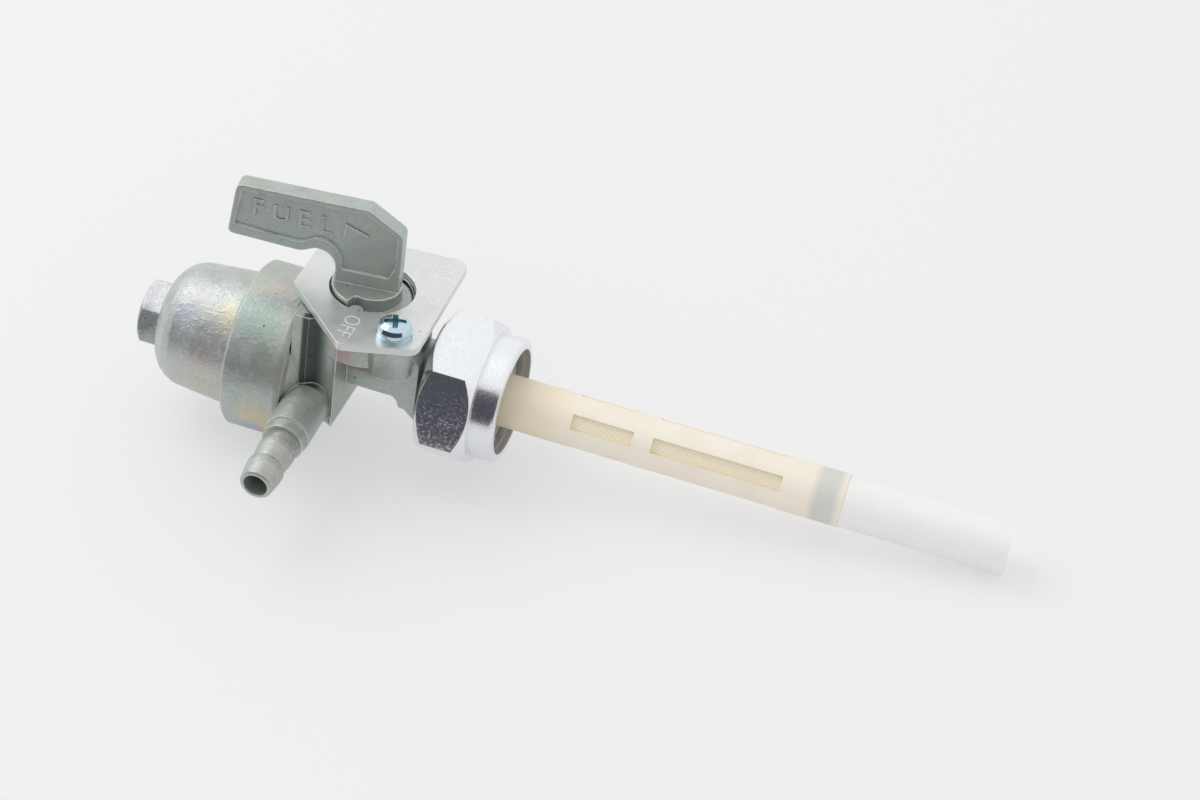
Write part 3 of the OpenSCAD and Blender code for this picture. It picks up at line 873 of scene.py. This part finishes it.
@dataclass
class PlateDress:
    """Stamped marks on the retainer plate.

    Attributes:
        top_z: Height of the plate's top face in mm.
        marks: Name, text, foot's and top's x, start y in mm, share of the usual width.
        thick: Thickness of the paint in mm.
        weight: Widening of the strokes in mm.
    """

    top_z: float = 17.1
    marks: tuple = (("mark_off", "OFF", -28.9, -25.8, -10.2, 0.90),
                    ("mark_on", "ON", -17.1, -14.7, 2.0, 0.85),
                    ("mark_res", "RES", -18.4, -15.4, 13.7, 0.9))
    thick: float = 0.05
    weight: float = -0.07

    def build(self) -> None:
        """Builds the three marks."""
        down = Matrix.Rotation(math.radians(-90), 4, "Z")
        for name, text, low_x, high_x, start_y, narrow in self.marks:
            mark = Lettering(name, "tap", Finish.PAINT, "plate_zinc", [(text, 0.0, 0.0, high_x - low_x)],
                             thick=self.thick, bevel=0.0, weight=self.weight, narrow=narrow)
            mark.build(Matrix.Translation((low_x, start_y, self.top_z)) @ down)


@dataclass
class Thread:
    """Helical ridge round an axis that runs along X.

    Attributes:
        name: Name of the piece.
        start_x: Start along X in mm.
        end_x: End along X in mm.
        axis_z: Height of the axis in mm.
        root_r: Radius of the ridge's foot in mm.
        crest_r: Radius of its crest in mm.
        pitch: Rise of one turn in mm.
        body: The body that carries it.
        finish: Its finish.
        slot: Name of a material slot; not used.
        steps: Steps of one turn.
        foot_share: Half the foot's width as a share of the pitch.
        tip_share: Half the crest's width as a share of the pitch.
        lead: Place of the first turn as a share of the pitch.
        weld: Distance under which points are joined, in mm.
    """

    name: str
    start_x: float
    end_x: float
    axis_z: float
    root_r: float
    crest_r: float
    pitch: float
    body: str
    finish: Finish
    slot: str
    steps: int = 48
    foot_share: float = 0.40
    tip_share: float = 0.08
    lead: float = 0.6
    weld: float = 0.0005

    def build(self) -> bpy.types.Object:
        """Sweeps the ridge's profile along its helix.

        Returns:
            The piece.
        """
        turns = int((self.end_x - self.start_x) / self.pitch) - 1
        bpy.ops.object.select_all(action="DESELECT")
        bpy.ops.mesh.primitive_plane_add(size=1, location=(0, 0, 0))
        piece = bpy.context.object
        piece.name = piece.data.name = self.name
        half, tip = self.pitch * self.foot_share, self.pitch * self.tip_share
        profile = ((self.root_r, -half), (self.root_r, half), (self.crest_r, -tip), (self.crest_r, tip))
        for vertex, (r, along) in zip(piece.data.vertices, profile):
            vertex.co = (r, 0, along)
        screw = piece.modifiers.new("helix", "SCREW")
        screw.axis = "Z"
        screw.angle = math.tau
        screw.screw_offset = self.pitch
        screw.iterations = turns
        screw.steps = screw.render_steps = self.steps
        alone(piece)
        bpy.ops.object.modifier_apply(modifier=screw.name)
        bpy.ops.object.mode_set(mode="EDIT")
        bpy.ops.mesh.select_all(action="SELECT")
        bpy.ops.mesh.remove_doubles(threshold=self.weld)
        bpy.ops.mesh.normals_make_consistent(inside=False)
        bpy.ops.object.mode_set(mode="OBJECT")
        start = Matrix.Translation((self.start_x + self.pitch * self.lead, 0, self.axis_z))
        piece.matrix_world = Matrix.Scale(MM, 4) @ start @ Matrix.Rotation(math.radians(90), 4, "Y")
        return settle(piece, self.finish, self.body)


@dataclass
class Studio:
    """White table, soft light and the photograph's camera.

    Attributes:
        eye: Place of the camera in mm.
        right: Its direction to the right.
        down: Its downward direction.
        ahead: Its viewing direction.
        lens: Focal length in mm.
        sensor: Width of the sensor in mm.
        sky_light: Strength of the light from all round.
        sky_seen: Strength of it as the camera and reflections see it.
        table_normal: Upward direction of the table.
        table_size: Side of the table in metres.
        table_gap: Gap between the table and the tap in metres.
        table_colour: Colour of the table.
        table_seen: Colour of the even sheet that is mixed in.
        table_even: Share of that sheet.
        lamp_place: Place of the lamp in mm.
        lamp_size: Side of the lamp in mm.
        lamp_power: Power of the lamp in watts.
        card_place: Middle of the dark card in mm.
        card_size: Width and height of the card in mm.
        card_colour: Colour of the card.
    """

    eye: Triple = (101.35, -397.95, 320.17)
    right: Triple = (0.94655, 0.29603, 0.12811)
    down: Triple = (0.28021, -0.55792, -0.78115)
    ahead: Triple = (-0.15977, 0.7753, -0.61105)
    lens: float = 81.0
    sensor: float = 36.0
    sky_light: float = 0.76
    sky_seen: float = 0.98
    table_normal: Triple = (-0.105, -0.091, 0.990)
    table_size: float = 6.0
    table_gap: float = 0.0001
    table_colour: str = "f5f5f6"
    table_seen: str = "f2f2f3"
    table_even: float = 0.55
    lamp_place: Triple = (-520, 60, 640)
    lamp_size: float = 520
    lamp_power: float = 1.6
    card_place: Triple = (20, -105, 30)
    card_size: tuple[float, float] = (420, 150)
    card_colour: str = "5a5a62"

    def camera(self) -> None:
        """Adds the camera."""
        data = bpy.data.cameras.new("camera")
        data.lens = self.lens
        data.sensor_width = self.sensor
        data.clip_start = 0.01
        data.clip_end = 20.0
        piece = bpy.data.objects.new("camera", data)
        bpy.context.scene.collection.objects.link(piece)
        columns = [Vector(self.right), -Vector(self.down), -Vector(self.ahead)]
        turn = Matrix(columns).transposed().to_quaternion().to_matrix().to_4x4()
        piece.matrix_world = Matrix.Translation(Vector(self.eye) * MM) @ turn
        bpy.context.scene.camera = piece

    def table(self) -> None:
        """Adds the table under the lowest points of the tap."""
        up = Vector(self.table_normal).normalized()
        lowest = min(up.dot(piece.matrix_world @ v.co)
                     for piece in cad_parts.values() for v in piece.data.vertices)
        bpy.ops.object.select_all(action="DESELECT")
        bpy.ops.mesh.primitive_plane_add(size=self.table_size, location=(0, 0, 0))
        piece = bpy.context.object
        piece.name = piece.data.name = "table"
        turn = Vector((0, 0, 1)).rotation_difference(up).to_matrix().to_4x4()
        piece.matrix_world = Matrix.Translation(up * (lowest - self.table_gap)) @ turn
        piece.data.transform(piece.matrix_world)
        piece.matrix_world = Matrix()
        g = Graph("table_white")
        g.surface(Base_Color=tint(self.table_colour), Roughness=0.30, Specular_IOR_Level=0.4)
        self.glow(g)
        piece.data.materials.append(g.material)

    def glow(self, g: Graph) -> None:
        """Lets the camera and reflections see the table partly as an even pale sheet.

        Args:
            g: The table's material tree.
        """
        shader = g.tree.nodes["Principled BSDF"]
        out = g.tree.nodes["Material Output"]
        path = g.raw("ShaderNodeLightPath", {}, {})
        seen = Sock(g, path.outputs["Is Camera Ray"]).of("MAXIMUM", Sock(g, path.outputs["Is Glossy Ray"]))
        sheet = g.raw("ShaderNodeEmission", {}, {"Color": tint(self.table_seen), "Strength": 1.0})
        mixed = g.raw("ShaderNodeMixShader", {}, {0: seen * self.table_even})
        g.tree.links.new(shader.outputs[0], mixed.inputs[1])
        g.tree.links.new(sheet.outputs[0], mixed.inputs[2])
        g.tree.links.new(mixed.outputs[0], out.inputs[0])

    def lamp(self, aim: Triple = (10, 0, 0)) -> None:
        """Adds the square soft lamp that looks at the tap.

        Args:
            aim: The point that it looks at, in mm.
        """
        data = bpy.data.lights.new("lamp_top", "AREA")
        data.size = self.lamp_size * MM
        data.energy = self.lamp_power
        piece = bpy.data.objects.new("lamp_top", data)
        bpy.context.scene.collection.objects.link(piece)
        spot = Vector(self.lamp_place) * MM
        piece.location = spot
        piece.rotation_euler = (Vector(aim) * MM - spot).to_track_quat("-Z", "Y").to_euler()

    def card(self) -> None:
        """Adds the upright dark card that only shows in reflections."""
        bpy.ops.object.select_all(action="DESELECT")
        bpy.ops.mesh.primitive_plane_add(size=1.0, location=(0, 0, 0))
        piece = bpy.context.object
        piece.name = piece.data.name = "card_front"
        wide, tall = self.card_size
        middle = Matrix.Translation(Vector(self.card_place) * MM)
        size = Matrix.Diagonal((wide * MM, tall * MM, 1, 1))
        piece.data.transform(middle @ Matrix.Rotation(math.radians(90), 4, "X") @ size)
        g = Graph("card_front")
        g.surface(Base_Color=tint(self.card_colour), Roughness=0.9, Specular_IOR_Level=0.0)
        piece.data.materials.append(g.material)
        for way in ("camera", "diffuse", "transmission", "volume_scatter", "shadow"):
            setattr(piece, f"visible_{way}", False)

    def sky(self) -> None:
        """Lights the set evenly, and shows the pale tent to the camera and in reflections."""
        world = bpy.context.scene.world or bpy.data.worlds.new("world")
        bpy.context.scene.world = world
        world.use_nodes = True
        tree = world.node_tree
        tree.nodes.clear()
        path = tree.nodes.new("ShaderNodeLightPath")
        seen = tree.nodes.new("ShaderNodeMath")
        seen.operation = "MAXIMUM"
        tree.links.new(path.outputs["Is Camera Ray"], seen.inputs[0])
        tree.links.new(path.outputs["Is Glossy Ray"], seen.inputs[1])
        strength = tree.nodes.new("ShaderNodeMapRange")
        strength.inputs["To Min"].default_value = self.sky_light
        strength.inputs["To Max"].default_value = self.sky_seen
        tree.links.new(seen.outputs[0], strength.inputs["Value"])
        back = tree.nodes.new("ShaderNodeBackground")
        back.inputs["Color"].default_value = (1.0, 1.0, 1.0, 1)
        tree.links.new(strength.outputs[0], back.inputs["Strength"])
        out = tree.nodes.new("ShaderNodeOutputWorld")
        tree.links.new(back.outputs[0], out.inputs["Surface"])

    def build(self) -> None:
        """Builds the whole set."""
        self.camera()
        self.table()
        self.sky()
        self.lamp()
        self.card()
        bpy.context.scene.view_settings.view_transform = "Standard"


@dataclass
class Tap:
    """The whole tap: finishes on its nodes, then its fine pieces.

    Attributes:
        finishes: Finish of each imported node.
        threads: Ridges of the nut's and the bowl's threads.
    """

    finishes: dict[str, Finish] = field(default_factory=lambda: {
        "valve_body": Finish.BODY, "sediment_bowl": Finish.BOWL, "bowl_o_ring": Finish.RUBBER,
        "bowl_screen_frame": Finish.SCREEN, "bowl_screen_mesh": Finish.MESH, "lever": Finish.LEVER,
        "valve_packing": Finish.RUBBER, "wave_washer": Finish.SPRING, "retainer_plate": Finish.PLATE,
        "plate_screws": Finish.SCREW, "screw_washers": Finish.SCREW, "union_nut": Finish.NUT,
        "tank_gasket": Finish.GASKET, "strainer_frame": Finish.STRAINER, "strainer_mesh": Finish.MESH,
        "inner_pipe": Finish.STANDPIPE, "pipe_ferrule": Finish.FERRULE, "standpipe": Finish.STANDPIPE})
    threads: tuple = (
        Thread("nut_thread", -4.7, 1.0, 0.0, 10.02, 9.5, 1.0, "nut", Finish.NUT, "nut_chrome"),
        Thread("bowl_thread", -48.5, -43.7, -3.9, 12.88, 13.12, 1.0, "bowl", Finish.BOWL, "bowl_zinc"))

    def build(self) -> None:
        """Dresses the nodes and builds the fine pieces."""
        for node, finish in self.finishes.items():
            dress(node, finish)
        LeverDress().build()
        PlateDress().build()
        for thread in self.threads:
            thread.build()


def main() -> None:
    """Builds the scene."""
    logging.basicConfig(level=logging.INFO, format="%(name)s: %(message)s")
    Tap().build()
    Studio().build()


if __name__ == "__main__":
    main()
